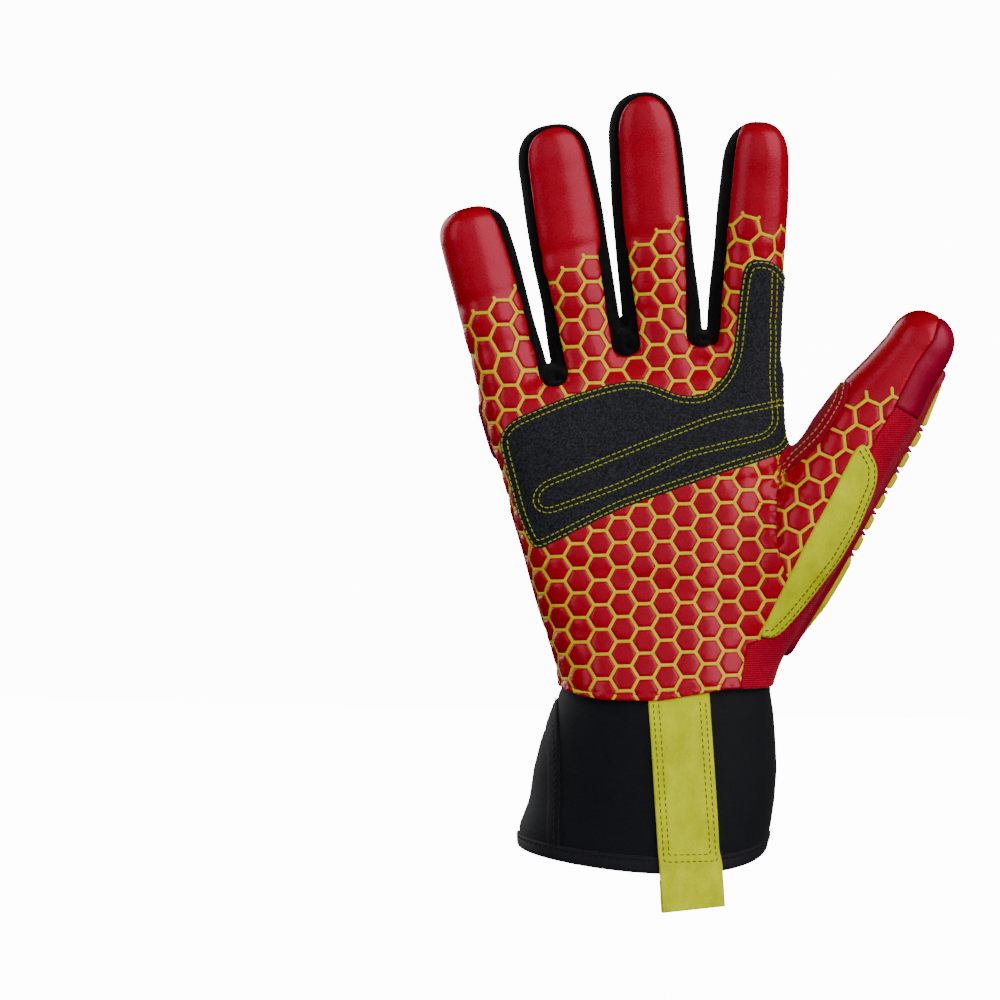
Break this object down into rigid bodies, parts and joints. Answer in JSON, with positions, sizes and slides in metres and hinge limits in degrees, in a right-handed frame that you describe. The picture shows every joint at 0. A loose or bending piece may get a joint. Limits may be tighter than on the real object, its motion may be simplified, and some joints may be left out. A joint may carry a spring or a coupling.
{
  "type": "cut-resistant work glove",
  "caption": "Right-hand impact work glove, filled out as worn: leather palm, knitted back with moulded guards, pull-on cuff with a tab",
  "frame": {"origin": "the middle of the cuff's mouth, where the wrist holds the glove", "axes": "+Z from the wrist to the fingertips, -Y out of the palm, +X to the thumb"},
  "size_m": [0.1746, 0.0633, 0.2791],
  "materials": {
    "grip_leather": "glossy red leather with a raised yellow honeycomb print",
    "cap_leather": "glossy crimson leather",
    "red_knit": "ribbed red stretch knit",
    "black_knit": "matt black stretch cloth",
    "black_leather": "pebbled matt black leather",
    "yellow_suede": "napped yellow suede",
    "red_suede": "napped red suede",
    "crimson_rubber": "satin moulded crimson rubber",
    "yellow_rubber": "satin moulded yellow rubber",
    "neoprene": "matt black cloth-faced neoprene",
    "binding": "black binding tape",
    "label_cloth": "plain black woven label",
    "silver_tape": "silver reflective tape"
  },
  "bodies": {
    "root": {"palm_panel": "grip_leather", "back_panel": "red_knit", "fourchette_little_ring": "black_knit", "fourchette_ring_middle": "black_knit", "fourchette_middle_index": "black_knit", "tip_cap_little": "cap_leather", "tip_cap_ring": "cap_leather", "tip_cap_middle": "cap_leather", "tip_cap_index": "cap_leather", "tip_cap_thumb": "cap_leather", "guard_little": "crimson_rubber", "guard_ring": "crimson_rubber", "guard_middle": "crimson_rubber", "guard_index": "crimson_rubber", "guard_thumb": "crimson_rubber", "blocks_little": "yellow_rubber", "blocks_ring": "yellow_rubber", "blocks_middle": "yellow_rubber", "blocks_index": "yellow_rubber", "blocks_thumb": "yellow_rubber", "palm_patch": "black_leather", "thumb_patch": "yellow_suede", "web_patch": "red_suede", "hand_guard": "crimson_rubber", "pad_wrist": "yellow_rubber", "pad_inner": "yellow_rubber", "pad_middle": "yellow_rubber", "pad_point": "yellow_rubber", "pad_thumb": "yellow_rubber", "pad_knuckle": "yellow_rubber", "bar_1": "yellow_rubber", "bar_2": "yellow_rubber", "bar_3": "yellow_rubber", "bar_4": "yellow_rubber", "bar_5": "yellow_rubber", "side_block_1": "yellow_rubber", "side_block_2": "yellow_rubber", "side_block_3": "yellow_rubber", "side_block_4": "yellow_rubber", "knuckle_guard": "crimson_rubber", "knuckle_bar_1": "yellow_rubber", "knuckle_bar_2": "yellow_rubber", "knuckle_bar_3": "yellow_rubber", "knuckle_bar_4": "yellow_rubber", "knuckle_bar_5": "yellow_rubber", "cuff": "neoprene", "cuff_binding": "binding", "reflective_band": "silver_tape", "cuff_label": "label_cloth", "label_patch": "silver_tape", "pull_tab": "yellow_suede"}
  },
  "joints": []
}
